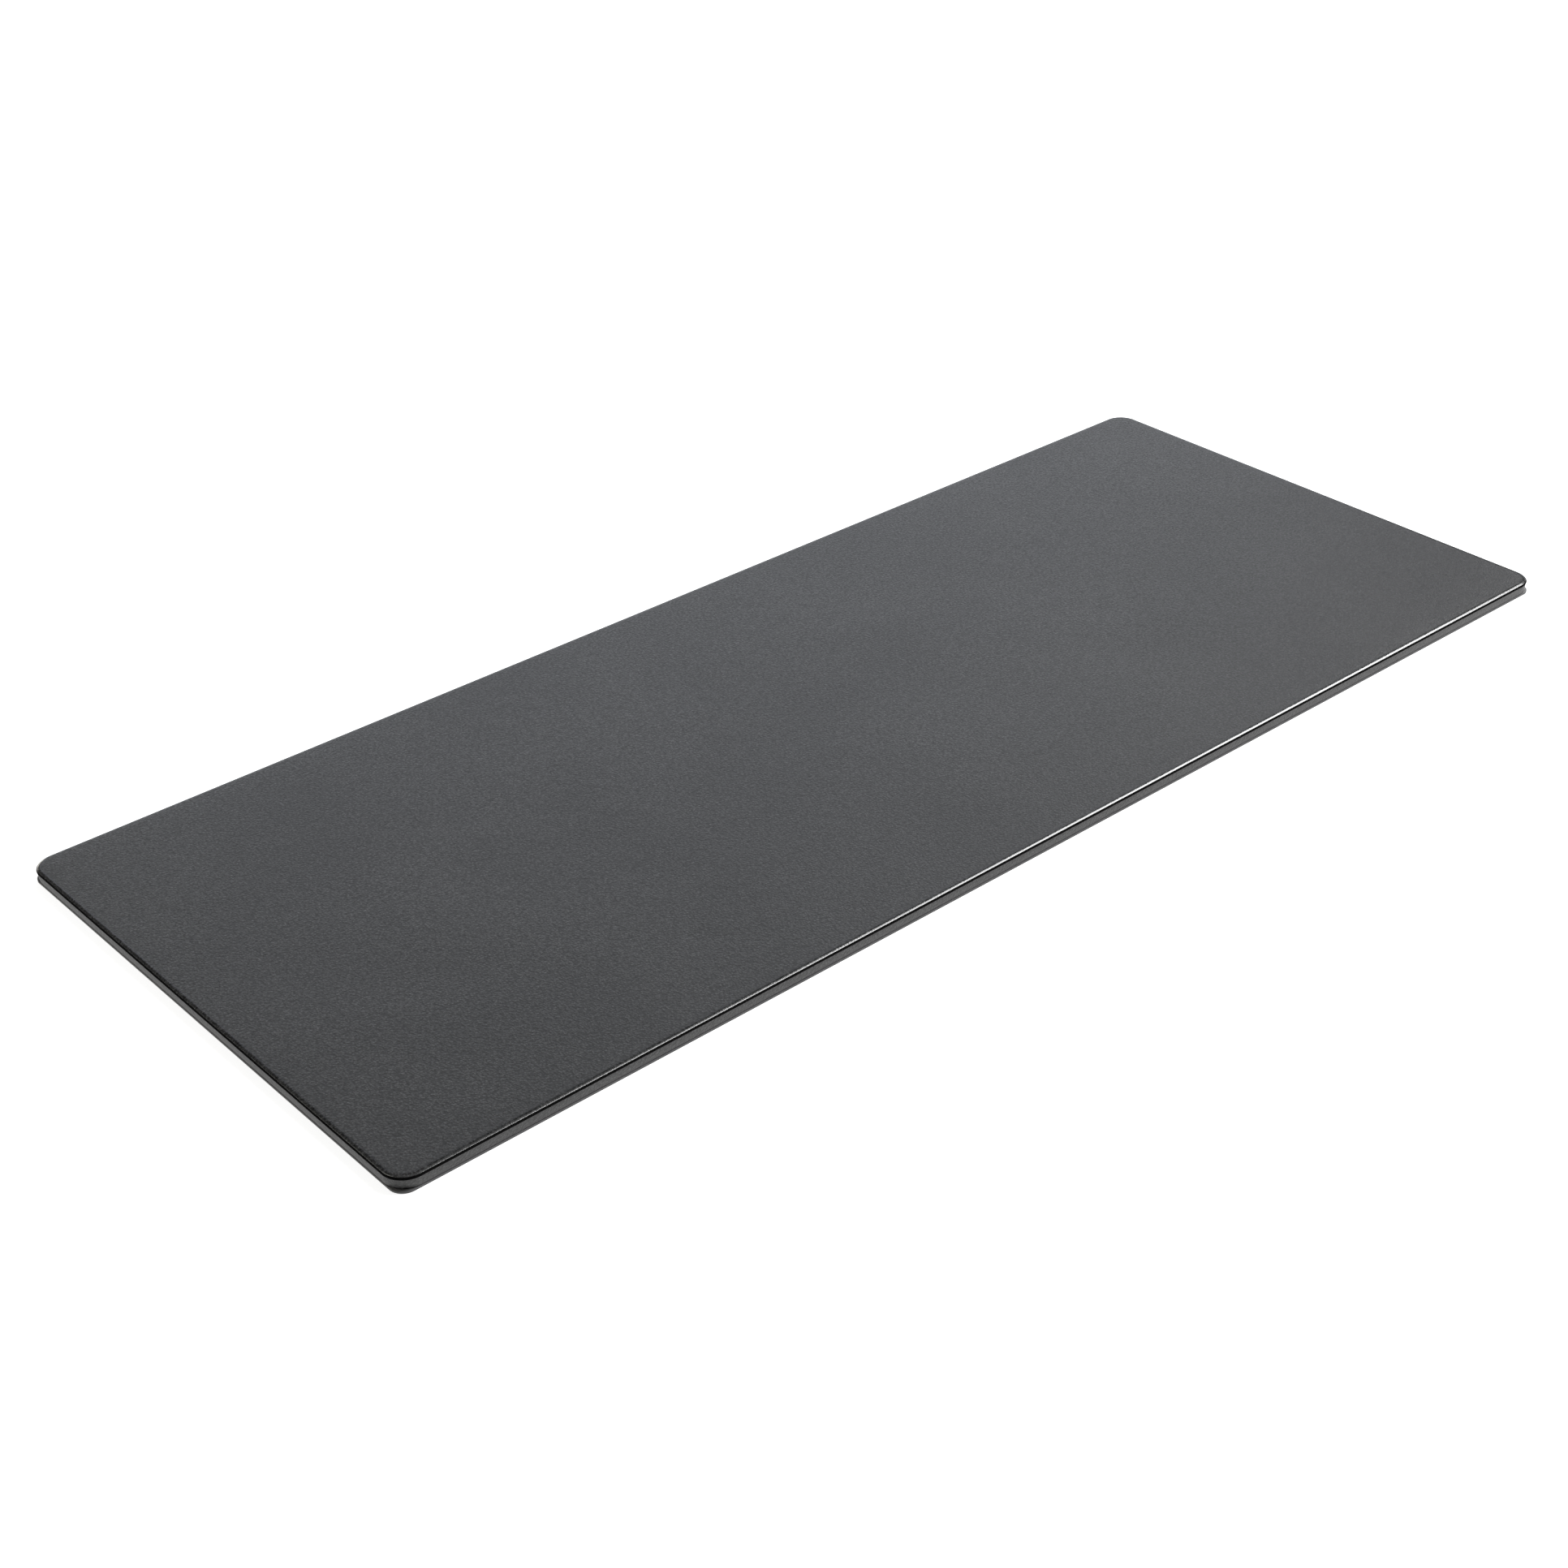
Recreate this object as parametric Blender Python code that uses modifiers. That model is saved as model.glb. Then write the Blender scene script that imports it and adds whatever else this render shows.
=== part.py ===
"""Anti fatigue mat: a leatherette cover over two foam layers on a non-slip backing sheet.

Units are metres and +Z is up. The origin is at the middle of the underside, +X runs along the
long side, and +Y runs along the short side, away from the person who stands on the mat.
"""

import math

import bmesh
import bpy

# Overall size
LENGTH = 1.2192
WIDTH = 0.508
THICKNESS = 0.0127
CORNER_RADIUS = 0.019

# Levels of the layers, up from the floor
GAP = 0.0003
BACKING_THICKNESS = 0.0018
SUPPORT_FOAM_TOP = 0.0066
SEAM_HEIGHT = 0.0102

# Cover: a top panel with a rolled rim, sewn at the seam to a band that leans in towards the floor
COVER_THICKNESS = 0.001
RIM_RADIUS = 0.0022
RIM_SEGMENTS = 6
BAND_TAPER = 0.0013

# The backing sheet has tighter corners than the cover, so its corners show past the band
BACKING_INSET = 0.0012
BACKING_CORNER_RADIUS = 0.012

CORNER_SEGMENTS = 12
WELD_DISTANCE = 0.000001
SHARP_ANGLE = math.radians(60)
SMOOTH_ANGLE = math.radians(30)
COLLECTION_NAME = "anti_fatigue_mat"

# Worked out from the sizes above
BAND_BOTTOM = BACKING_THICKNESS + GAP
BAND_TOP = SEAM_HEIGHT - GAP / 2
RIM_BOTTOM = SEAM_HEIGHT + GAP / 2
COMFORT_FOAM_BOTTOM = SUPPORT_FOAM_TOP + GAP
COMFORT_FOAM_TOP = THICKNESS - COVER_THICKNESS - GAP


def band_lean(height):
    """How far the band's outer face lies inside the rim at a height."""
    return BAND_TAPER * (BAND_TOP - height) / (BAND_TOP - BAND_BOTTOM)


def foam_inset(bottom):
    """The inset that keeps a foam layer clear of the band, which is tightest at its bottom."""
    return band_lean(bottom) + COVER_THICKNESS + GAP


def clear_scene():
    """Remove every object that the file opened with."""
    for old in list(bpy.data.objects):
        bpy.data.objects.remove(old, do_unlink=True)


def make_material(name, colour, roughness):
    """Make a plain non-metallic material."""
    material = bpy.data.materials.new(name)
    material.use_nodes = True
    shader = material.node_tree.nodes["Principled BSDF"]
    shader.inputs["Base Color"].default_value = (*colour, 1.0)
    shader.inputs["Roughness"].default_value = roughness
    shader.inputs["Metallic"].default_value = 0.0
    return material


def outline_points(inset, radius):
    """Points round a rectangle with rounded corners, inset from the overall size."""
    points = []
    for quarter, (side_x, side_y) in enumerate(((1, 1), (-1, 1), (-1, -1), (1, -1))):
        centre_x = side_x * (LENGTH / 2 - inset - radius)
        centre_y = side_y * (WIDTH / 2 - inset - radius)
        for step in range(CORNER_SEGMENTS + 1):
            angle = math.pi / 2 * (quarter + step / CORNER_SEGMENTS)
            points.append((centre_x + radius * math.cos(angle), centre_y + radius * math.sin(angle)))
    return points


def outline_curve(name, inset, radius, bottom, top, fill_mode):
    """A flat rounded outline, extruded from one height to another."""
    curve = bpy.data.curves.new(name, "CURVE")
    curve.dimensions = "2D"
    curve.fill_mode = fill_mode
    curve.extrude = (top - bottom) / 2
    points = outline_points(inset, radius)
    spline = curve.splines.new("POLY")
    spline.points.add(len(points) - 1)
    for point, (x, y) in zip(spline.points, points):
        point.co = (x, y, 0.0, 1.0)
    spline.use_cyclic_u = True
    guide = bpy.data.objects.new(name, curve)
    guide.location.z = (top + bottom) / 2
    bpy.context.scene.collection.objects.link(guide)
    bpy.context.view_layer.update()
    return guide


def outline_solid(name, inset, radius, bottom, top, fill_mode="BOTH"):
    """The extruded outline as a mesh object, with its caps welded to its wall."""
    guide = outline_curve(name + "_outline", inset, radius, bottom, top, fill_mode)
    evaluated = guide.evaluated_get(bpy.context.evaluated_depsgraph_get())
    mesh = bpy.data.meshes.new_from_object(evaluated)
    mesh.name = name
    shape = bmesh.new()
    shape.from_mesh(mesh)
    bmesh.ops.remove_doubles(shape, verts=shape.verts, dist=WELD_DISTANCE)
    bmesh.ops.recalc_face_normals(shape, faces=shape.faces)
    shape.to_mesh(mesh)
    shape.free()
    piece = bpy.data.objects.new(name, mesh)
    piece.matrix_world = guide.matrix_world.copy()
    bpy.data.collections[COLLECTION_NAME].objects.link(piece)
    bpy.data.objects.remove(guide, do_unlink=True)
    return piece


def lean_inwards(piece, distance):
    """Move the lower edge of an outline's wall squarely inwards, round the corners too."""
    straight_x = LENGTH / 2 - CORNER_RADIUS
    straight_y = WIDTH / 2 - CORNER_RADIUS
    for vertex in piece.data.vertices:
        if vertex.co.z < 0:
            centre_x = max(-straight_x, min(straight_x, vertex.co.x))
            centre_y = max(-straight_y, min(straight_y, vertex.co.y))
            share = distance / CORNER_RADIUS
            vertex.co.x += (centre_x - vertex.co.x) * share
            vertex.co.y += (centre_y - vertex.co.y) * share


def remove_bottom_face(piece):
    """Open a solid at its underside."""
    shape = bmesh.new()
    shape.from_mesh(piece.data)
    underside = [face for face in shape.faces if face.normal.z < -math.cos(SHARP_ANGLE)]
    bmesh.ops.delete(shape, geom=underside, context="FACES")
    shape.to_mesh(piece.data)
    shape.free()


def round_upper_edge(piece, radius):
    """Round the edge between the top face and the wall."""
    shape = bmesh.new()
    shape.from_mesh(piece.data)
    weight = shape.edges.layers.float.new("bevel_weight_edge")
    for edge in shape.edges:
        above_middle = all(vertex.co.z > 0 for vertex in edge.verts)
        if above_middle and len(edge.link_faces) == 2 and edge.calc_face_angle() > SHARP_ANGLE:
            edge[weight] = 1.0
    shape.to_mesh(piece.data)
    shape.free()
    bevel = piece.modifiers.new("rounded_edge", "BEVEL")
    bevel.limit_method = "WEIGHT"
    bevel.width = radius
    bevel.segments = RIM_SEGMENTS


def thicken_inwards(piece):
    """Give an open surface the cover's thickness, on its inner side."""
    solidify = piece.modifiers.new("cover_thickness", "SOLIDIFY")
    solidify.thickness = COVER_THICKNESS
    solidify.offset = -1.0
    solidify.use_even_offset = True


def finish(piece, material):
    """Give a piece its material and smooth shading."""
    piece.data.materials.clear()
    piece.data.materials.append(material)
    piece.data.shade_smooth()
    piece.data.set_sharp_from_angle(angle=SMOOTH_ANGLE)


def make_backing_sheet():
    """The flat non-slip sheet that rests on the floor."""
    sheet = outline_solid(
        "backing_sheet", BACKING_INSET, BACKING_CORNER_RADIUS, 0.0, BACKING_THICKNESS
    )
    finish(sheet, make_material("non_slip_backing", (0.03, 0.03, 0.032), 0.7))


def make_support_foam():
    """The dense lower foam layer that carries the load."""
    inset = foam_inset(BAND_BOTTOM)
    foam = outline_solid(
        "support_foam", inset, CORNER_RADIUS - inset, BAND_BOTTOM, SUPPORT_FOAM_TOP
    )
    finish(foam, make_material("dense_foam", (0.12, 0.12, 0.12), 0.95))


def make_comfort_foam():
    """The soft upper foam layer, rounded where the cover rolls over it."""
    inset = foam_inset(COMFORT_FOAM_BOTTOM)
    foam = outline_solid(
        "comfort_foam", inset, CORNER_RADIUS - inset, COMFORT_FOAM_BOTTOM, COMFORT_FOAM_TOP
    )
    round_upper_edge(foam, RIM_RADIUS)
    finish(foam, make_material("soft_foam", (0.45, 0.45, 0.43), 0.95))


def make_side_band():
    """The strip of cover round the side, sewn to the top cover and to the backing sheet."""
    band = outline_solid("side_band", 0.0, CORNER_RADIUS, BAND_BOTTOM, BAND_TOP, "NONE")
    lean_inwards(band, BAND_TAPER)
    thicken_inwards(band)
    finish(band, make_material("leatherette_band", (0.09, 0.09, 0.092), 0.6))


def make_top_cover():
    """The top panel of the cover, with a rim rolled down to the seam."""
    cover = outline_solid("top_cover", 0.0, CORNER_RADIUS, RIM_BOTTOM, THICKNESS)
    remove_bottom_face(cover)
    round_upper_edge(cover, RIM_RADIUS)
    thicken_inwards(cover)
    finish(cover, make_material("leatherette_top", (0.08, 0.08, 0.082), 0.5))


def main():
    """Build the mat from the floor up."""
    clear_scene()
    collection = bpy.data.collections.new(COLLECTION_NAME)
    bpy.context.scene.collection.children.link(collection)
    make_backing_sheet()
    make_support_foam()
    make_comfort_foam()
    make_side_band()
    make_top_cover()


main()
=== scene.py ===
"""Looks of the anti fatigue mat: leatherette cover, side band, foam layers and non-slip backing.

Every solid of the frame is replaced by a finer piece in the same place. Units are metres.
"""

import math

import bpy
import numpy as np
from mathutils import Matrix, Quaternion, Vector, noise


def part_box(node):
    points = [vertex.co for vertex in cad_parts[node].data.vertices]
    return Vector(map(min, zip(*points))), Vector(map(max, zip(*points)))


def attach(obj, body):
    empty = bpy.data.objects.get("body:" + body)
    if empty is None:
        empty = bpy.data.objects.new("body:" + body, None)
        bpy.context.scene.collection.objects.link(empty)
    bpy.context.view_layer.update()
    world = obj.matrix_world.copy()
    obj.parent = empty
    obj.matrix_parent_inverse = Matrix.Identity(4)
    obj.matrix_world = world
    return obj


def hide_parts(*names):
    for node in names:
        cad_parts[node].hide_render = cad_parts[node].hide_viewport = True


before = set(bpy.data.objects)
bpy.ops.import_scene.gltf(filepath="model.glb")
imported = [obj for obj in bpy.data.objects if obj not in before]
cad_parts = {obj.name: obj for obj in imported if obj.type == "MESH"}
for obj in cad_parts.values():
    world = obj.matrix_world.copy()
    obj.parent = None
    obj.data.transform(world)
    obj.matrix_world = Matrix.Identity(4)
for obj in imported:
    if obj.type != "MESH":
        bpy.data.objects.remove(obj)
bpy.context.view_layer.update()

# --- Sizes taken from the frame -------------------------------------------------------------
COVER_LOW, COVER_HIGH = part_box("top_cover")
BAND_LOW, BAND_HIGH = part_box("side_band")
BACKING_LOW, BACKING_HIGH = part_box("backing_sheet")
HALF_LENGTH = COVER_HIGH.x
HALF_WIDTH = COVER_HIGH.y
TOP = COVER_HIGH.z
SEAM = (COVER_LOW.z + BAND_HIGH.z) / 2

# --- Sizes of the surface -------------------------------------------------------------------
MM = 0.001
CORNER_RADIUS = 19 * MM
BACKING_CORNER_RADIUS = 12 * MM
SHEET_THICKNESS = 0.8 * MM
SEAM_SLIT = 0.12 * MM
HEM_DEPTH = 1.9 * MM

# The rolled rim: a flattened round with a soft shoulder on its inner side, tucked into the seam
RIM_WIDTH = 3.1 * MM
RIM_FLATNESS = 1.25
RIM_WANDER = 0.03
RIM_WANDER_SIZE = 80 * MM
RIM_BLEND = 2.0 * MM
TUCK_HEIGHT = 0.8 * MM
TUCK_DEPTH = 0.75 * MM
PUCKER_SIZE = 3.5 * MM
PUCKER_DEPTH = 0.06 * MM
PUCKER_SPREAD = 1.4
SHOULDER_WIDTH = 7.0 * MM
SHOULDER_RISE = 0.16 * MM

# Insets of the rings between the flat middle and the rim, closer together towards the rim
SHOULDER_INSETS = tuple(inset * MM for inset in (15.0, 12.0, 9.5, 7.5, 6.2, 5.2, 4.4))

# The standing surface: a slight crown with broad swells and faint slanting wrinkles on it
CROWN = 0.15 * MM
CROWN_REACH = 60 * MM
SWELL_SIZE = 110 * MM
SWELL_HEIGHT = 0.08 * MM
WRINKLE_SIZE = 35 * MM
WRINKLE_HEIGHT = 0.05 * MM
WRINKLE_STRETCH = 0.45

# The band stands back under the rim and leans in towards the floor
BAND_TOP_INSET = 0.45 * MM
BAND_BOTTOM_INSET = 1.4 * MM
BAND_LIP = 0.35 * MM
BAND_BULGE = 0.25 * MM
BAND_BULGE_CHANGE = 0.5
BAND_RIPPLE_SIZE = 18 * MM
BAND_RIPPLE_DEPTH = 0.05 * MM

# The hidden foam layers: clearance from the cover round them, edges, where the ring that borders
# the flat middle lies as a share of the corner radius, and dimples in their tops
FOAM_CLEARANCE = 0.25 * MM
FOAM_SOFT_EDGE = 1.2 * MM
FOAM_CUT_EDGE = 0.2 * MM
FOAM_BORDER = 0.6
DIMPLE_SIZE = 50 * MM
DIMPLE_DEPTH = 0.1 * MM

# The backing: depth of its grip pattern, mesh steps to one repeat of it, its softened edge, and
# the same bordering ring
GRIP_DEPTH = 0.5 * MM
GRIP_PITCH_STEPS = 4
BACKING_EDGE = 0.35 * MM
BACKING_BORDER = 0.7

# The cover's cloth simulation: a sheet cut too large by a share of its size, held lightly
# everywhere and firmly at its edge, with a small share of its folds' height kept
CLOTH_SLACK = 0.01
CLOTH_HOLD = 0.05
CLOTH_FRAMES = 25
CLOTH_START_SIZE = 30 * MM
CLOTH_START_HEIGHT = 0.05 * MM
CLOTH_STIFFNESS = 40
FOLD_LIMIT = 0.35 * MM
FOLD_SHARE = 0.02

# --- Mesh density ---------------------------------------------------------------------------
CORNER_STEPS = 32
LONG_STEPS = 236
SHORT_STEPS = 94
BACKING_LONG_STEPS = 300
BACKING_SHORT_STEPS = 120
FOAM_LONG_STEPS = 96
FOAM_SHORT_STEPS = 40
FOAM_CORNER_STEPS = 10
RIM_STEPS = 14
TUCK_STEPS = 5
LIP_STEPS = 5
BAND_STEPS = 10
BACKING_EDGE_STEPS = 4
FOAM_EDGE_STEPS = 5
SMOOTHING_ROUNDS = 2
# Steps of the rim next to the tuck that get the seam's painted shade
PAINTED_SEAM_STEPS = 6  # how many steps of the rim, next to the tuck, lie in the dark of the seam


# --- Outline --------------------------------------------------------------------------------
class Outline:
    """A rounded rectangle, cut into stations that every ring of a piece shares."""

    def __init__(self, half_length, half_width, radius,
                 steps=(LONG_STEPS, SHORT_STEPS, CORNER_STEPS)):
        self.half_length = half_length
        self.half_width = half_width
        self.radius = radius
        self.core_x = half_length - radius
        self.core_y = half_width - radius
        self.long_steps, self.short_steps, corner_steps = steps
        roots = []
        normals = []
        for quarter, (side_x, side_y) in enumerate(((1, 1), (-1, 1), (-1, -1), (1, -1))):
            corner = np.array((side_x * self.core_x, side_y * self.core_y))
            for step in range(corner_steps + 1):
                angle = math.pi / 2 * (quarter + step / corner_steps)
                roots.append(corner)
                normals.append((math.cos(angle), math.sin(angle)))
            along_x = quarter in (0, 2)
            steps_ahead = self.long_steps if along_x else self.short_steps
            next_corner = corner * ((-1, 1) if along_x else (1, -1))
            for step in range(1, steps_ahead):
                roots.append(corner + (next_corner - corner) * step / steps_ahead)
                normals.append(normals[-1])
        self.roots = np.array(roots)
        self.normals = np.array(normals)
        self.count = len(roots)

    def ring(self, inset, height):
        """The stations in space, at an inset and a height that may vary along the outline."""
        reach = self.radius - np.broadcast_to(np.asarray(inset, float), (self.count,))
        level = np.broadcast_to(np.asarray(height, float), (self.count,))
        return np.column_stack([self.roots + self.normals * reach[:, None], level])

    def plan(self, inset=0.0):
        """The stations' plan places at an inset."""
        return self.ring(inset, 0.0)[:, :2]

    def turning(self):
        """1 in the middle of a corner, falling to 0 where the straight sides begin."""
        return np.abs(self.normals[:, 0] * self.normals[:, 1]) * 2

    def edge_distance(self, plan):
        """How far plan points lie inside the nearest straight side."""
        from_short_side = self.half_length - np.abs(plan[:, 0])
        from_long_side = self.half_width - np.abs(plan[:, 1])
        return np.minimum(from_short_side, from_long_side)


COVER_OUTLINE = Outline(HALF_LENGTH, HALF_WIDTH, CORNER_RADIUS)
BACKING_OUTLINE = Outline(
    BACKING_HIGH.x, BACKING_HIGH.y, BACKING_CORNER_RADIUS,
    steps=(BACKING_LONG_STEPS, BACKING_SHORT_STEPS, CORNER_STEPS),
)


def value_noise(plan, size, seed, depth=1):
    """Smooth noise at plan points, about -1 to 1, with features about size across."""
    offset = Vector((seed * 17.3, seed * 5.1, seed * 3.7))
    roughness = 0.5
    lacunarity = 2.0
    return np.array([
        noise.fractal(Vector((x / size, y / size, 0.0)) + offset, roughness, lacunarity, depth)
        for x, y in plan
    ])


# --- Mesh building --------------------------------------------------------------------------
def loft(levels, count):
    """Faces between rings of points, listed from the upper middle, over the edge, and down."""
    here = np.arange(count)
    ahead = (here + 1) % count
    starts = np.arange(levels - 1)[:, None] * count
    corners = (here, here + count, ahead + count, ahead)
    return np.stack([(starts + corner).ravel() for corner in corners], 1)


def core_grid(outline, long_steps, short_steps):
    """The flat middle between the corner centres: its plan points, faces and point numbers."""
    xs = np.linspace(outline.core_x, -outline.core_x, long_steps + 1)
    ys = np.linspace(outline.core_y, -outline.core_y, short_steps + 1)
    across, along = np.meshgrid(xs, ys, indexing="ij")
    plan = np.column_stack([across.ravel(), along.ravel()])
    number = np.arange(len(plan)).reshape(across.shape)
    corners = (number[:-1, :-1], number[:-1, 1:], number[1:, 1:], number[1:, :-1])
    faces = np.stack([corner.ravel() for corner in corners], 1)
    return plan, faces, number


def core_border(outline, number):
    """The grid point that lies at the root of each station."""
    column = (outline.core_x - outline.roots[:, 0]) / (2 * outline.core_x) * outline.long_steps
    row = (outline.core_y - outline.roots[:, 1]) / (2 * outline.core_y) * outline.short_steps
    return number[np.rint(column).astype(int), np.rint(row).astype(int)]


def border_faces(border, first, count, upwards):
    """Faces between the border of a core grid and the ring that starts at point number first."""
    faces = []
    for station in range(count):
        ahead = (station + 1) % count
        corners = [border[station], first + station, first + ahead]
        if border[station] != border[ahead]:
            corners.append(border[ahead])
        faces.append(corners if upwards else corners[::-1])
    return faces


def edge_rings(outline, bottom, top, bottom_edge, top_edge, steps):
    """Rings round a slab's edge, rounded off at its top and at its bottom."""
    turns = np.linspace(0, math.pi / 2, steps + 1)
    rings = []
    for turn in turns:
        inset = top_edge * (1 - math.sin(turn))
        rings.append(outline.ring(inset, top - top_edge * (1 - math.cos(turn))))
    for turn in turns:
        inset = bottom_edge * (1 - math.cos(turn))
        rings.append(outline.ring(inset, bottom + bottom_edge * (1 - math.sin(turn))))
    return rings


def build_piece(name, outline, rings, top_at=None, bottom_at=None):
    """A piece lofted through rings, closed over its middle where a height function is given."""
    points = [np.concatenate(rings)]
    faces = loft(len(rings), outline.count).tolist()
    total = len(points[0])
    for height_at, upwards in ((top_at, True), (bottom_at, False)):
        if height_at is None:
            continue
        plan, grid_faces, number = core_grid(outline, outline.long_steps, outline.short_steps)
        border = core_border(outline, number) + total
        first = 0 if upwards else (len(rings) - 1) * outline.count
        facing = grid_faces[:, ::-1] if upwards else grid_faces
        faces += (facing + total).tolist()
        faces += border_faces(border.tolist(), first, outline.count, upwards)
        points.append(np.column_stack([plan, height_at(plan)]))
        total += len(plan)
    mesh = bpy.data.meshes.new(name)
    mesh.from_pydata(np.concatenate(points).tolist(), [], faces)
    mesh.shade_smooth()
    piece = bpy.data.objects.new(name, mesh)
    bpy.context.scene.collection.objects.link(piece)
    return piece


def thicken(piece, thickness):
    """Give an open sheet a thickness on its inner side."""
    solidify = piece.modifiers.new("thickness", "SOLIDIFY")
    solidify.thickness = thickness
    solidify.offset = -1.0


def paint_seam_shade(piece, outline, first, last):
    """Give the faces between two rings, counted from the piece's first, the painted shade of the
    seam.
    """
    piece.data.materials.append(PAINTED_SEAM_SHADE)
    for face in piece.data.polygons[first * outline.count:last * outline.count]:
        face.material_index = 1


def mark_rim(piece, outline):
    """Store how near each point is to the outline, where the leather is stretched smooth."""
    count = len(piece.data.vertices)
    places = np.empty(count * 3)
    piece.data.vertices.foreach_get("co", places)
    places = places.reshape(-1, 3)
    limit = np.array((outline.core_x, outline.core_y))
    core = np.clip(places[:, :2], -limit, limit)
    inset = outline.radius - np.linalg.norm(places[:, :2] - core, axis=1)
    share = np.clip(1 - (inset - RIM_WIDTH) / RIM_BLEND, 0, 1)
    attribute = piece.data.attributes.new("rim", "FLOAT", "POINT")
    attribute.data.foreach_set("value", share.astype(np.float32))


# --- Top cover ------------------------------------------------------------------------------
def top_height(plan):
    """The standing surface: a soft shoulder, a slight crown, and faint broad wrinkles."""
    x, y = plan[:, 0], plan[:, 1]
    inside = np.clip(COVER_OUTLINE.edge_distance(plan) - RIM_WIDTH, 0, None)
    shoulder = SHOULDER_RISE * (1 - np.exp(-inside / SHOULDER_WIDTH))
    rise = 1 - np.exp(-inside / CROWN_REACH)
    swell = value_noise(plan, SWELL_SIZE, seed=1, depth=2) * SWELL_HEIGHT
    slanted = np.column_stack([x * 0.6 + y * 0.8, (x * 0.8 - y * 0.6) * WRINKLE_STRETCH])
    wrinkle = value_noise(slanted, WRINKLE_SIZE, seed=2, depth=2) * WRINKLE_HEIGHT
    return TOP + shoulder + rise * (CROWN + swell + wrinkle)


def slack_sheet(outline):
    """A sheet over the flat middle at half the cover's density, with its edge held."""
    plan, faces, number = core_grid(outline, LONG_STEPS // 2, SHORT_STEPS // 2)
    start = value_noise(plan, CLOTH_START_SIZE, seed=3) * CLOTH_START_HEIGHT
    mesh = bpy.data.meshes.new("slack_sheet")
    mesh.from_pydata(np.column_stack([plan, start]).tolist(), [], faces.tolist())
    sheet = bpy.data.objects.new("slack_sheet", mesh)
    bpy.context.scene.collection.objects.link(sheet)
    held = sheet.vertex_groups.new(name="held")
    held.add(number.ravel().tolist(), CLOTH_HOLD, "REPLACE")
    for edge in (number[0], number[-1], number[:, 0], number[:, -1]):
        held.add(edge.tolist(), 1.0, "REPLACE")
    return sheet, number.shape


def simulate_folds(outline):
    """Fold heights on the cover's middle grid: a sheet cut a little too large settles by cloth."""
    sheet, shape = slack_sheet(outline)
    cloth = sheet.modifiers.new("cloth", "CLOTH")
    cloth.settings.vertex_group_mass = "held"
    cloth.settings.shrink_min = -CLOTH_SLACK
    cloth.settings.mass = 0.01
    cloth.settings.tension_stiffness = CLOTH_STIFFNESS
    cloth.settings.compression_stiffness = CLOTH_STIFFNESS
    cloth.settings.shear_stiffness = CLOTH_STIFFNESS / 2
    cloth.settings.bending_stiffness = CLOTH_STIFFNESS / 8
    cloth.settings.effector_weights.gravity = 0.0
    cloth.point_cache.frame_end = CLOTH_FRAMES
    for step in range(1, CLOTH_FRAMES + 1):
        bpy.context.scene.frame_set(step)
    settled = sheet.evaluated_get(bpy.context.evaluated_depsgraph_get()).to_mesh()
    places = np.empty(len(settled.vertices) * 3)
    settled.vertices.foreach_get("co", places)
    heights = places.reshape(-1, 3)[:, 2].reshape(shape) * FOLD_SHARE
    bpy.data.objects.remove(sheet, do_unlink=True)
    bpy.context.scene.frame_set(1)
    for axis in (0, 1):
        heights = refine(heights, axis)
    return np.clip(heights, -FOLD_LIMIT, FOLD_LIMIT)


def refine(grid, axis):
    """Twice as many steps along an axis, with the corners between steps rounded off."""
    grid = np.moveaxis(grid, axis, 0)
    finer = np.empty((2 * len(grid) - 1, grid.shape[1]))
    finer[::2] = grid
    finer[1::2] = (grid[:-1] + grid[1:]) / 2
    for _ in range(SMOOTHING_ROUNDS):
        finer[1:-1] = (finer[:-2] + 2 * finer[1:-1] + finer[2:]) / 4
    return np.moveaxis(finer, 0, axis)


def rim_rings(outline):
    """Rings from the standing surface over the rolled rim and into the seam."""
    along = outline.plan()
    wander = value_noise(along, RIM_WANDER_SIZE, seed=5, depth=2)
    at_corner = np.clip(outline.turning() * PUCKER_SPREAD, 0, 1)
    pucker = value_noise(along, PUCKER_SIZE, seed=6) * at_corner * PUCKER_DEPTH
    width = RIM_WIDTH * (1 + RIM_WANDER * wander)
    side = SEAM + TUCK_HEIGHT
    rings = []
    for inset in SHOULDER_INSETS:
        rings.append(outline.ring(inset, top_height(outline.plan(inset))))
    for turn in np.linspace(0, math.pi / 2, RIM_STEPS + 1):
        inset = width * (1 - math.sin(turn) ** RIM_FLATNESS) + pucker * math.sin(turn)
        rings.append(outline.ring(inset, side + (TOP - side) * math.cos(turn) ** RIM_FLATNESS))
    for turn in np.linspace(0, math.pi / 2, TUCK_STEPS + 1)[1:]:
        inset = TUCK_DEPTH * (1 - math.cos(turn)) + pucker * math.cos(turn)
        rings.append(outline.ring(inset, side - (TUCK_HEIGHT - SEAM_SLIT / 2) * math.sin(turn)))
    rings.append(outline.ring(HEM_DEPTH, SEAM + SEAM_SLIT / 2))
    return rings


def make_top_cover():
    """The leatherette top panel with its rolled rim."""
    folds = simulate_folds(COVER_OUTLINE).ravel()

    def folded_height(plan):
        return top_height(plan) + folds

    rings = rim_rings(COVER_OUTLINE)
    hem = len(rings) - 1
    rim_edge = hem - 1 - TUCK_STEPS
    cover = build_piece("cover_panel", COVER_OUTLINE, rings, top_at=folded_height)
    cover.data.materials.append(leatherette("leatherette_top", LEATHER_TOP))
    # The tuck and the rim's lowest steps get painted shade: near-black where the seam's shadow
    # falls.
    paint_seam_shade(cover, COVER_OUTLINE, rim_edge - PAINTED_SEAM_STEPS, hem)
    mark_rim(cover, COVER_OUTLINE)
    thicken(cover, SHEET_THICKNESS)
    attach(cover, "root")
    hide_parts("top_cover")


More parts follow.
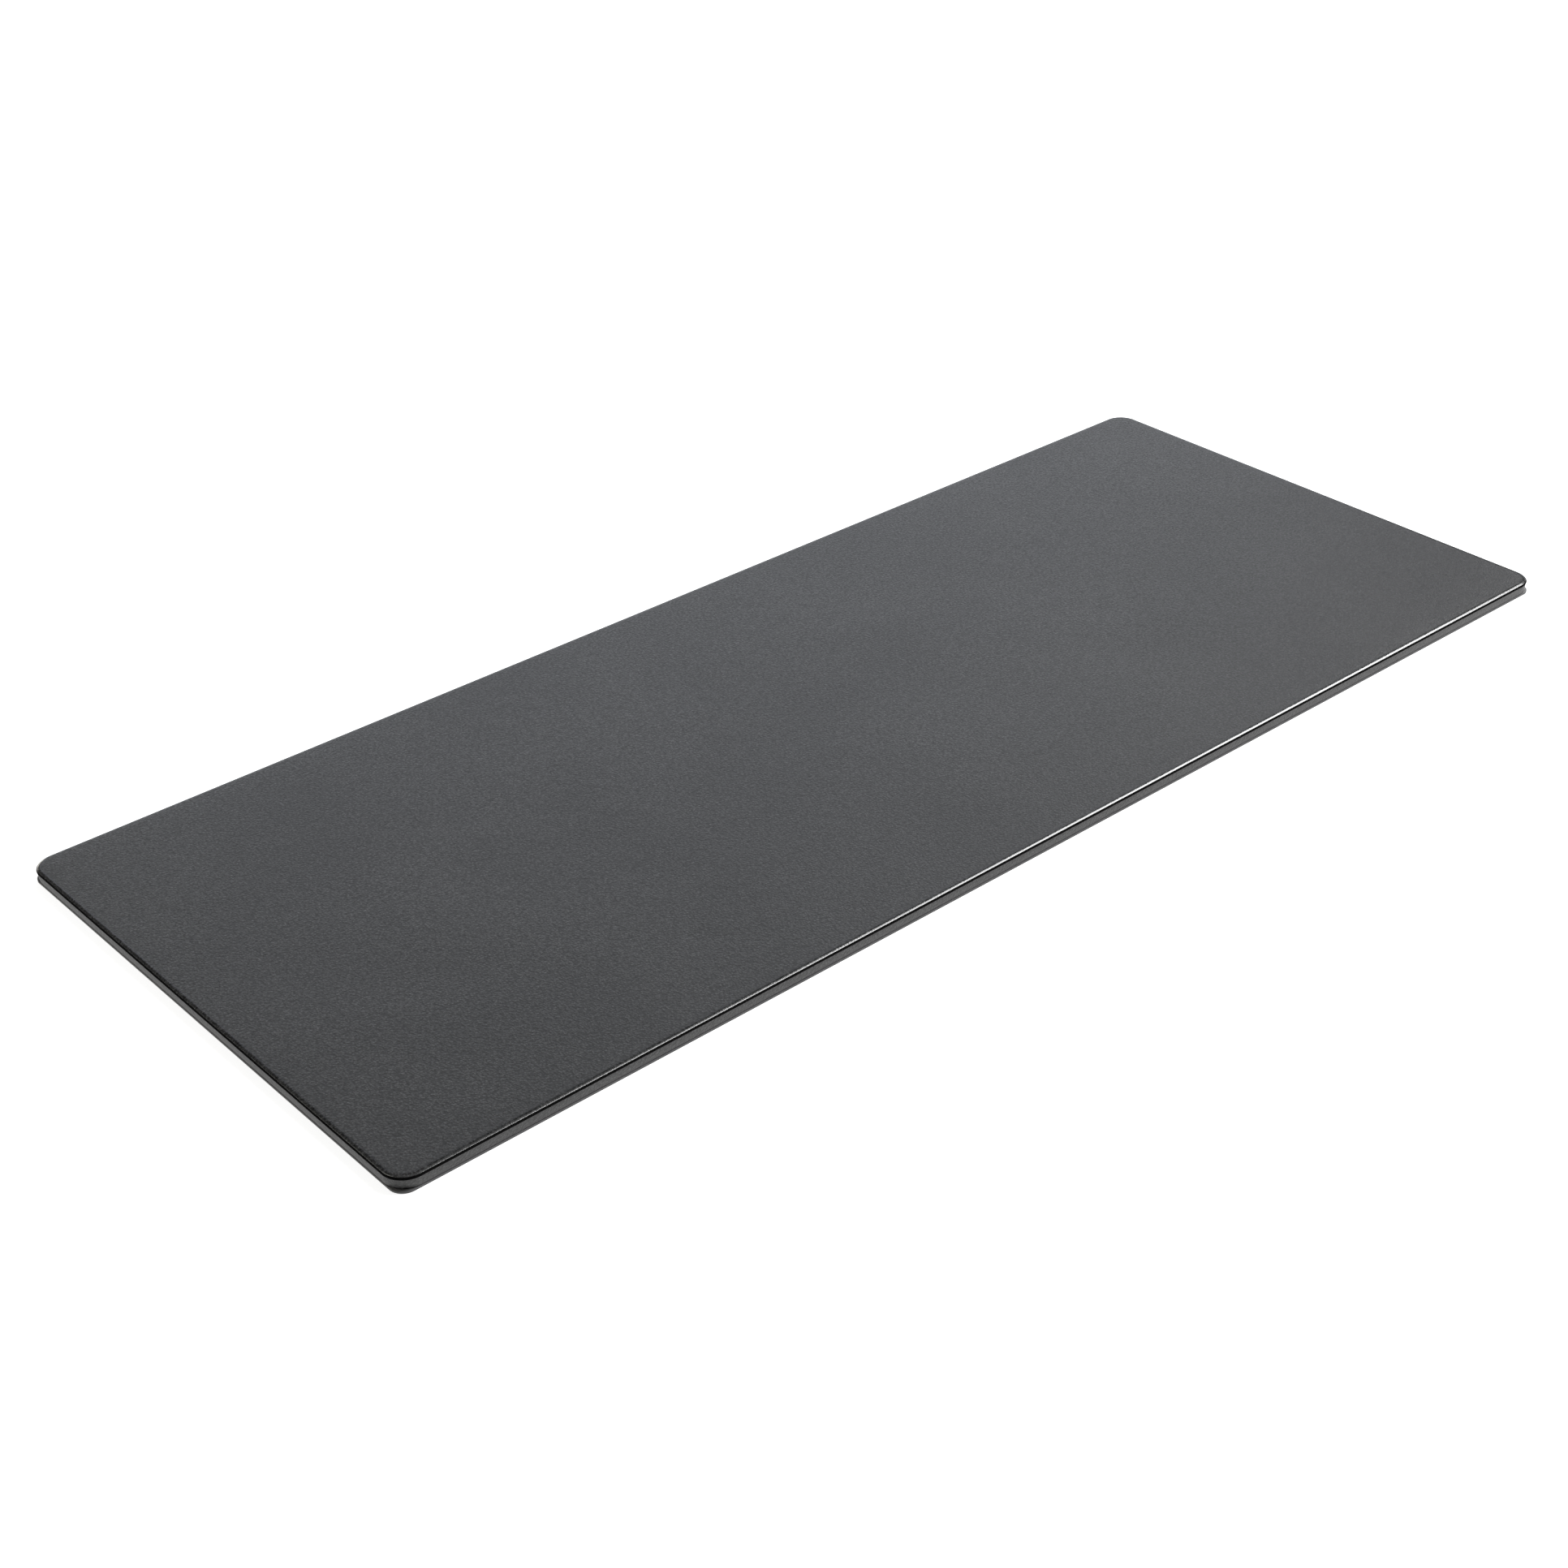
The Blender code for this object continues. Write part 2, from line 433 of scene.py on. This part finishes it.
# --- Side band ------------------------------------------------------------------------------
def band_rings(outline):
    """Rings from the seam over the band's upper lip, down its face and under its lower lip."""
    along = outline.plan()
    wander = value_noise(along, RIM_WANDER_SIZE, seed=8, depth=2)
    ripple = value_noise(along, BAND_RIPPLE_SIZE, seed=9, depth=2) * BAND_RIPPLE_DEPTH
    top = SEAM - SEAM_SLIT / 2
    bottom = BAND_LOW.z
    rings = [outline.ring(HEM_DEPTH, top)]
    for turn in np.linspace(0, math.pi / 2, LIP_STEPS + 1):
        inset = BAND_TOP_INSET + BAND_LIP * (1 - math.sin(turn))
        rings.append(outline.ring(inset, top - BAND_LIP * (1 - math.cos(turn))))
    for share in np.linspace(0, 1, BAND_STEPS + 1)[1:-1]:
        lean = BAND_TOP_INSET + (BAND_BOTTOM_INSET - BAND_TOP_INSET) * share
        bulge = BAND_BULGE * (1 + BAND_BULGE_CHANGE * wander) + ripple
        inset = lean - math.sin(math.pi * share) * bulge
        rings.append(outline.ring(inset, top - BAND_LIP + (bottom - top + 2 * BAND_LIP) * share))
    for turn in np.linspace(0, math.pi / 2, LIP_STEPS + 1):
        inset = BAND_BOTTOM_INSET + BAND_LIP * (1 - math.cos(turn))
        rings.append(outline.ring(inset, bottom + BAND_LIP * (1 - math.sin(turn))))
    rings.append(outline.ring(HEM_DEPTH, bottom))
    return rings


def make_side_band():
    """The leatherette strip between the top seam and the backing."""
    band = build_piece("band_strip", COVER_OUTLINE, band_rings(COVER_OUTLINE))
    band.data.materials.append(leatherette("leatherette_band", LEATHER_BAND))
    # The band's hem and upper lip get painted shade: near-black where the seam's shadow falls.
    paint_seam_shade(band, COVER_OUTLINE, 0, LIP_STEPS + 1)
    thicken(band, SHEET_THICKNESS)
    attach(band, "root")
    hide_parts("side_band")


# --- Backing sheet --------------------------------------------------------------------------
def grip_height(plan):
    """The underside: low points that touch the floor, in staggered rows with hollows between."""
    pitch_x = 2 * BACKING_OUTLINE.core_x / BACKING_LONG_STEPS * GRIP_PITCH_STEPS
    pitch_y = 2 * BACKING_OUTLINE.core_y / BACKING_SHORT_STEPS * GRIP_PITCH_STEPS
    wave_x = np.cos(2 * math.pi * plan[:, 0] / pitch_x)
    wave_y = np.cos(2 * math.pi * plan[:, 1] / pitch_y)
    wave = wave_x * wave_y
    return BACKING_LOW.z + GRIP_DEPTH * (1 - np.sign(wave) * np.sqrt(np.abs(wave))) / 2


def flat_face_at(level):
    """A height function for a flat face."""
    return lambda plan: np.full(len(plan), level)


def make_backing_sheet():
    """The non-slip sheet, with a softened edge and a moulded grip underneath."""
    outline = BACKING_OUTLINE
    low = BACKING_LOW.z
    high = BACKING_HIGH.z
    top_at = flat_face_at(high)
    rings = edge_rings(outline, low, high, BACKING_EDGE, BACKING_EDGE, BACKING_EDGE_STEPS)
    rings.insert(0, outline.ring(outline.radius * BACKING_BORDER, high))
    rings.append(outline.ring(outline.radius * BACKING_BORDER, low))
    sheet = build_piece("backing_grip", outline, rings, top_at=top_at, bottom_at=grip_height)
    sheet.data.materials.append(rubber_backing("non_slip_backing"))
    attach(sheet, "root")
    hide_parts("backing_sheet")


# --- Foam layers ----------------------------------------------------------------------------
def make_foam(name, node, material, top_edge):
    """A cut foam slab in the place of its CAD solid, a little inside it, with rounded edges."""
    foam_low, foam_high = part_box(node)
    half_length = foam_high.x - FOAM_CLEARANCE
    half_width = foam_high.y - FOAM_CLEARANCE
    radius = CORNER_RADIUS - (HALF_LENGTH - half_length)
    steps = (FOAM_LONG_STEPS, FOAM_SHORT_STEPS, FOAM_CORNER_STEPS)
    outline = Outline(half_length, half_width, radius, steps)
    top = foam_high.z - FOAM_CLEARANCE
    bottom = foam_low.z
    border = radius * FOAM_BORDER

    def top_at(plan):
        return top - np.abs(value_noise(plan, DIMPLE_SIZE, seed=12, depth=2)) * DIMPLE_DEPTH

    rings = edge_rings(outline, bottom, top, FOAM_CUT_EDGE, top_edge, FOAM_EDGE_STEPS)
    rings.insert(0, outline.ring(border, top_at(outline.plan(border))))
    rings.append(outline.ring(border, bottom))
    foam = build_piece(name, outline, rings, top_at=top_at, bottom_at=flat_face_at(bottom))
    foam.data.materials.append(material)
    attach(foam, "root")
    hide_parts(node)


# --- Materials ------------------------------------------------------------------------------
# Scales are features to a metre, and depths of relief are metres
PEBBLE_SCALE = 600.0
CLUMP_SCALE = 480.0
PORE_SCALE = 1500.0
TONE_SCALE = 6.0
GRAIN_RELIEF = 0.4 * MM
FIBRE_SCALE = 2500.0
FIBRE_RELIEF = 0.2 * MM
PIT_SCALE = 900.0
PIT_RELIEF = 0.3 * MM
DUST_SCALE = 90.0
RUBBER_TONE_SCALE = 12.0
FOAM_TONE_SCALE = 20.0
FOAM_RELIEF = 0.5 * MM

# Leatherette: darkest and lightest tone, roughness at the two ends of its gloss pattern on the
# flat and on the rim, strength of the grain, and index of refraction
LEATHER_TOP = {
    "dark": (0.0155, 0.0155, 0.0157), "light": (0.021, 0.021, 0.0212),
    "rough": (0.52, 0.30), "rim_rough": (0.20, 0.27), "bump": 0.36, "ior": 1.5,
}
LEATHER_BAND = {
    "dark": (0.022, 0.022, 0.0225), "light": (0.029, 0.029, 0.0296),
    "rough": (0.42, 0.54), "rim_rough": (0.42, 0.54), "bump": 0.7, "ior": 1.5,
}


class Nodes:
    """A material, with a short way to add and link its nodes."""

    def __init__(self, name):
        self.material = bpy.data.materials.new(name)
        self.material.use_nodes = True
        self.tree = self.material.node_tree
        self.shader = self.tree.nodes["Principled BSDF"]
        self.place = self.add("ShaderNodeTexCoord").outputs["Object"]

    def add(self, kind, inputs=None, **settings):
        """A node, with each input linked where a socket is given and set where a value is."""
        node = self.tree.nodes.new(kind)
        for key, value in settings.items():
            setattr(node, key, value)
        for key, value in (inputs or {}).items():
            if isinstance(value, bpy.types.NodeSocket):
                self.tree.links.new(value, node.inputs[key])
            else:
                node.inputs[key].default_value = value
        return node

    def noise(self, scale, detail=2.0, roughness=0.5):
        """Plain noise from 0 to 1."""
        inputs = {"Vector": self.place, "Scale": scale, "Detail": detail, "Roughness": roughness}
        return self.add("ShaderNodeTexNoise", inputs).outputs["Fac"]

    def blend(self, factor, low, high, colours=False):
        """low where the factor is 0 and high where it is 1."""
        kind = "RGBA" if colours else "FLOAT"
        node = self.add("ShaderNodeMix", data_type=kind)
        group = [socket for socket in node.inputs if socket.enabled]
        for socket, value in zip(group, (factor, low, high)):
            if isinstance(value, bpy.types.NodeSocket):
                self.tree.links.new(value, socket)
            else:
                socket.default_value = (*value, 1.0) if colours else value
        return [socket for socket in node.outputs if socket.enabled][0]

    def span(self, value, low, high, from_low=0.0, from_high=1.0):
        """A value moved from one range to another."""
        inputs = {
            "Value": value,
            "From Min": from_low,
            "From Max": from_high,
            "To Min": low,
            "To Max": high,
        }
        return self.add("ShaderNodeMapRange", inputs).outputs["Result"]

    def math(self, operation, *values):
        """One math node."""
        inputs = dict(enumerate(values))
        return self.add("ShaderNodeMath", inputs, operation=operation).outputs["Value"]

    def scaled(self, vector, factor):
        """A vector or colour times a factor."""
        inputs = {0: vector, "Scale": factor}
        return self.add("ShaderNodeVectorMath", inputs, operation="SCALE").outputs["Vector"]

    def link(self, source, socket):
        """Link a value to the surface shader."""
        self.tree.links.new(source, self.shader.inputs[socket])

    def emboss(self, height, strength, distance):
        """Raise the surface by a height pattern."""
        inputs = {"Height": height, "Strength": strength, "Distance": distance}
        self.link(self.add("ShaderNodeBump", inputs).outputs["Normal"], "Normal")


def warped_place(n, scale, reach):
    """Object coordinates pushed about by noise, so that cells lose their regular shape."""
    push = n.add("ShaderNodeTexNoise", {"Vector": n.place, "Scale": scale, "Detail": 2.0})
    small = n.scaled(push.outputs["Color"], reach)
    moved = n.add("ShaderNodeVectorMath", {0: n.place, 1: small}, operation="ADD")
    return moved.outputs["Vector"]


def leatherette(name, look):
    """Embossed leatherette: pebbled grain and pores, slow changes of tone, and painted light in its
    colour: a fine speckle of painted glints on raised clumps, lighter pebble tops and painted shade
    between pebbles.
    """
    n = Nodes(name)
    n.shader.inputs["IOR"].default_value = look["ior"]
    place = warped_place(n, scale=PEBBLE_SCALE / 2, reach=1.2 * MM)
    cells = {"Vector": place, "Scale": PEBBLE_SCALE, "Smoothness": 0.4}
    pebble = n.add("ShaderNodeTexVoronoi", cells, feature="SMOOTH_F1").outputs["Distance"]
    pore = n.noise(PORE_SCALE, 3.0, 0.6)
    clump = n.noise(CLUMP_SCALE, 3.0, 0.6)
    broad = n.noise(TONE_SCALE, 4.0, 0.55)
    rim = n.add("ShaderNodeAttribute", attribute_name="rim").outputs["Fac"]

    tone_share = n.span(broad, 0, 1, 0.35, 0.65)
    tone = n.blend(tone_share, look["dark"], look["light"], colours=True)
    # Painted light in the colour: pebble tops lighter as painted glints, the gaps between pebbles
    # darker as painted shade, and a speckle lighter on the raised clumps as painted glints.
    painted_pebble_shading = n.span(pebble, 1.4, 0.4, 0.0, 0.7)
    painted_glint_speckle = n.span(clump, 0.1, 1.9, 0.3, 0.7)
    n.link(n.scaled(tone, n.math("MULTIPLY", painted_pebble_shading, painted_glint_speckle)), "Base Color")

    gloss = n.math("ADD", n.math("MULTIPLY", pore, 0.4), n.math("MULTIPLY", clump, 0.6))
    flat_rough = n.span(gloss, *look["rough"], 0.35, 0.65)
    rim_rough = n.span(gloss, *look["rim_rough"], 0.3, 0.7)
    n.link(n.blend(rim, flat_rough, rim_rough), "Roughness")

    fine = n.math("MULTIPLY_ADD", pore, 0.35, n.math("MULTIPLY", pebble, -1.0))
    height = n.math("MULTIPLY_ADD", clump, 0.6, fine)
    depth = n.span(rim, look["bump"], look["bump"] * 0.25)
    n.emboss(n.math("MULTIPLY", height, depth), 1.0, GRAIN_RELIEF)
    return n.material


def painted_shade_material(name):
    """Painted shade for the folded edges inside the seam: nearly black and matte, with a fine
    fibre, standing in for the shadow in the fold.
    """
    n = Nodes(name)
    fibre = n.noise(FIBRE_SCALE, 4.0, 0.7)
    # Near-black colour: painted shade for the shadow in the seam's fold, not the leather's own
    # colour.
    colour = n.blend(fibre, (0.0010, 0.0010, 0.0010), (0.0035, 0.0035, 0.0036), colours=True)
    n.link(colour, "Base Color")
    n.link(n.span(fibre, 0.75, 0.95), "Roughness")
    n.emboss(fibre, 0.5, FIBRE_RELIEF)
    n.shader.inputs["IOR"].default_value = 1.08
    return n.material


def rubber_backing(name):
    """Matte moulded rubber with a fine pitted skin."""
    n = Nodes(name)
    cells = {"Vector": n.place, "Scale": PIT_SCALE}
    pits = n.add("ShaderNodeTexVoronoi", cells).outputs["Distance"]
    broad = n.noise(RUBBER_TONE_SCALE, 4.0, 0.6)
    dust = n.noise(DUST_SCALE, 4.0, 0.7)
    tone_share = n.span(broad, 0, 1, 0.3, 0.7)
    tone = n.blend(tone_share, (0.060, 0.060, 0.062), (0.075, 0.075, 0.076), colours=True)
    n.link(n.scaled(tone, n.span(dust, 0.9, 1.15, 0.3, 0.7)), "Base Color")
    n.link(n.span(dust, 0.62, 0.78, 0.3, 0.7), "Roughness")
    n.emboss(pits, 0.4, PIT_RELIEF)
    return n.material


def foam_material(name, pale, dark, cell_scale):
    """Cut foam: cells of uneven size, darker inside each cell."""
    n = Nodes(name)
    place = warped_place(n, scale=cell_scale * 0.4, reach=0.3 / cell_scale)
    cells = {"Vector": place, "Scale": cell_scale}
    cell = n.add("ShaderNodeTexVoronoi", cells).outputs["Distance"]
    broad = n.noise(FOAM_TONE_SCALE, 3.0, 0.5)
    colour = n.blend(n.span(cell, 0, 1, 0.1, 0.7), dark, pale, colours=True)
    n.link(n.scaled(colour, n.span(broad, 0.92, 1.08, 0.3, 0.7)), "Base Color")
    n.link(n.span(cell, 0.98, 0.85), "Roughness")
    n.emboss(cell, 0.7, FOAM_RELIEF)
    return n.material


# --- Stage ----------------------------------------------------------------------------------
CAMERA_AZIMUTH = math.radians(-41.05)
CAMERA_ELEVATION = math.radians(31.70)
CAMERA_ROLL = math.radians(-1.19)
CAMERA_DISTANCE = 2.082292
CAMERA_TARGET = Vector((-0.0628904, -0.0588264, 0.0))
CAMERA_LENS = 59.27
CAMERA_SENSOR = 36.0
CAMERA_SHIFT = (-0.0321, -0.0050)

# A floor just under the mat, a backdrop that looks pale but hardly lights, and a dim ceiling
FLOOR_SIZE = 24.0
FLOOR_DROP = 0.2 * MM
FLOOR_COLOUR = (0.50, 0.50, 0.50, 1.0)
FLOOR_GLOW = 0.8
BACKDROP_LIGHT = 0.02
CEILING_SIZE = 3.0
CEILING_HEIGHT = 4.0
CEILING_RADIANCE = 0.5

# The panels of light stand on a circle round the mat
STUDIO_RADIUS = 4.0
COOL = (0.88, 0.92, 1.0)
NEUTRAL = (1.0, 1.0, 1.0)
WARM = (1.0, 0.98, 0.91)
# Name, azimuth from +X, its span, lowest and highest elevation, radiance, colour
SOFTBOXES = (
    ("key_right", 0, 25, 36, 58, 23.0, NEUTRAL),
    ("key_front_right", -25, 25, 28, 65, 22.0, NEUTRAL),
    ("fill_front_right", -22, 30, 3, 28, 1.2, NEUTRAL),
    ("low_right", 12, 34, 0, 12, 1.2, COOL),
    ("low_back_right", 57, 53, 0, 40, 1.23, COOL),
    ("low_back", 107, 45, 0, 16, 4.5, WARM),
    ("low_back_left", 150, 45, 0, 16, 0.9, WARM),
    ("high_back_left", 150, 45, 32, 60, 3.0, WARM),
)


def make_camera():
    """The photograph's point of view."""
    camera = bpy.data.objects.new("camera", bpy.data.cameras.new("camera"))
    camera.data.lens = CAMERA_LENS
    camera.data.sensor_width = CAMERA_SENSOR
    camera.data.shift_x, camera.data.shift_y = CAMERA_SHIFT
    camera.data.clip_start = 0.05
    camera.data.clip_end = 100.0
    back = Vector((
        math.sin(CAMERA_AZIMUTH) * math.cos(CAMERA_ELEVATION),
        -math.cos(CAMERA_AZIMUTH) * math.cos(CAMERA_ELEVATION),
        math.sin(CAMERA_ELEVATION),
    ))
    camera.location = CAMERA_TARGET + back * CAMERA_DISTANCE
    camera.rotation_mode = "QUATERNION"
    turn = (-back).to_track_quat("-Z", "Y")
    roll = Quaternion((0, 0, 1), CAMERA_ROLL)
    camera.rotation_quaternion = turn @ roll
    bpy.context.scene.collection.objects.link(camera)
    bpy.context.scene.camera = camera


def make_floor():
    """A plain pale floor, lit from within like a light table, which softens shadows."""
    bpy.ops.mesh.primitive_plane_add(size=FLOOR_SIZE, location=(0, 0, -FLOOR_DROP))
    floor = bpy.context.object
    floor.name = "floor"
    n = Nodes("floor_white")
    n.shader.inputs["Base Color"].default_value = FLOOR_COLOUR
    n.shader.inputs["Roughness"].default_value = 0.9
    n.shader.inputs["Emission Color"].default_value = (1.0, 1.0, 1.0, 1.0)
    n.shader.inputs["Emission Strength"].default_value = FLOOR_GLOW
    floor.data.materials.append(n.material)


def softbox(name, azimuth, span, low, high, radiance, colour):
    """A panel that stands round the mat and covers spans of azimuth and elevation, seen from it."""
    bottom = STUDIO_RADIUS * math.tan(math.radians(low))
    top = STUDIO_RADIUS * math.tan(math.radians(high))
    turn = math.radians(azimuth)
    outwards = Vector((math.cos(turn), math.sin(turn), 0.0))
    data = bpy.data.lights.new(name, "AREA")
    data.shape = "RECTANGLE"
    data.size = 2 * STUDIO_RADIUS * math.tan(math.radians(span / 2))
    data.size_y = top - bottom
    data.energy = radiance * math.pi * data.size * data.size_y
    data.color = colour
    lamp = bpy.data.objects.new(name, data)
    lamp.location = outwards * STUDIO_RADIUS + Vector((0, 0, (bottom + top) / 2))
    lamp.rotation_mode = "QUATERNION"
    lamp.rotation_quaternion = (-outwards).to_track_quat("-Z", "Y")
    bpy.context.scene.collection.objects.link(lamp)


def make_backdrop():
    """A studio that looks pale behind the mat and sends hardly any light of its own onto it."""
    world = bpy.data.worlds.new("studio")
    world.use_nodes = True
    nodes = world.node_tree.nodes
    links = world.node_tree.links
    ray = nodes.new("ShaderNodeLightPath")
    strength = nodes.new("ShaderNodeMapRange")
    strength.inputs["To Min"].default_value = BACKDROP_LIGHT
    strength.inputs["To Max"].default_value = FLOOR_GLOW
    links.new(ray.outputs["Is Camera Ray"], strength.inputs["Value"])
    nodes["Background"].inputs["Color"].default_value = (1, 1, 1, 1)
    links.new(strength.outputs["Result"], nodes["Background"].inputs["Strength"])
    bpy.context.scene.world = world


def make_lights():
    """Soft studio light from panels round the mat and a dim one overhead."""
    make_backdrop()
    for box in SOFTBOXES:
        softbox(*box)
    ceiling = bpy.data.lights.new("ceiling", "AREA")
    ceiling.size = CEILING_SIZE
    ceiling.energy = CEILING_RADIANCE * math.pi * CEILING_SIZE ** 2
    lamp = bpy.data.objects.new("ceiling", ceiling)
    lamp.location.z = CEILING_HEIGHT
    bpy.context.scene.collection.objects.link(lamp)
    bpy.context.scene.view_settings.view_transform = "Standard"


make_camera()
make_floor()
make_lights()

# Near-black material painted where the seam's shadow falls.
PAINTED_SEAM_SHADE = painted_shade_material("painted_shade_material")
SOFT_FOAM = foam_material("soft_foam", (0.48, 0.48, 0.46), (0.30, 0.30, 0.29), 900.0)
DENSE_FOAM = foam_material("dense_foam", (0.13, 0.13, 0.13), (0.07, 0.07, 0.07), 1600.0)

make_backing_sheet()
make_foam("dense_layer", "support_foam", DENSE_FOAM, FOAM_CUT_EDGE)
make_foam("soft_layer", "comfort_foam", SOFT_FOAM, FOAM_SOFT_EDGE)
make_side_band()
make_top_cover()
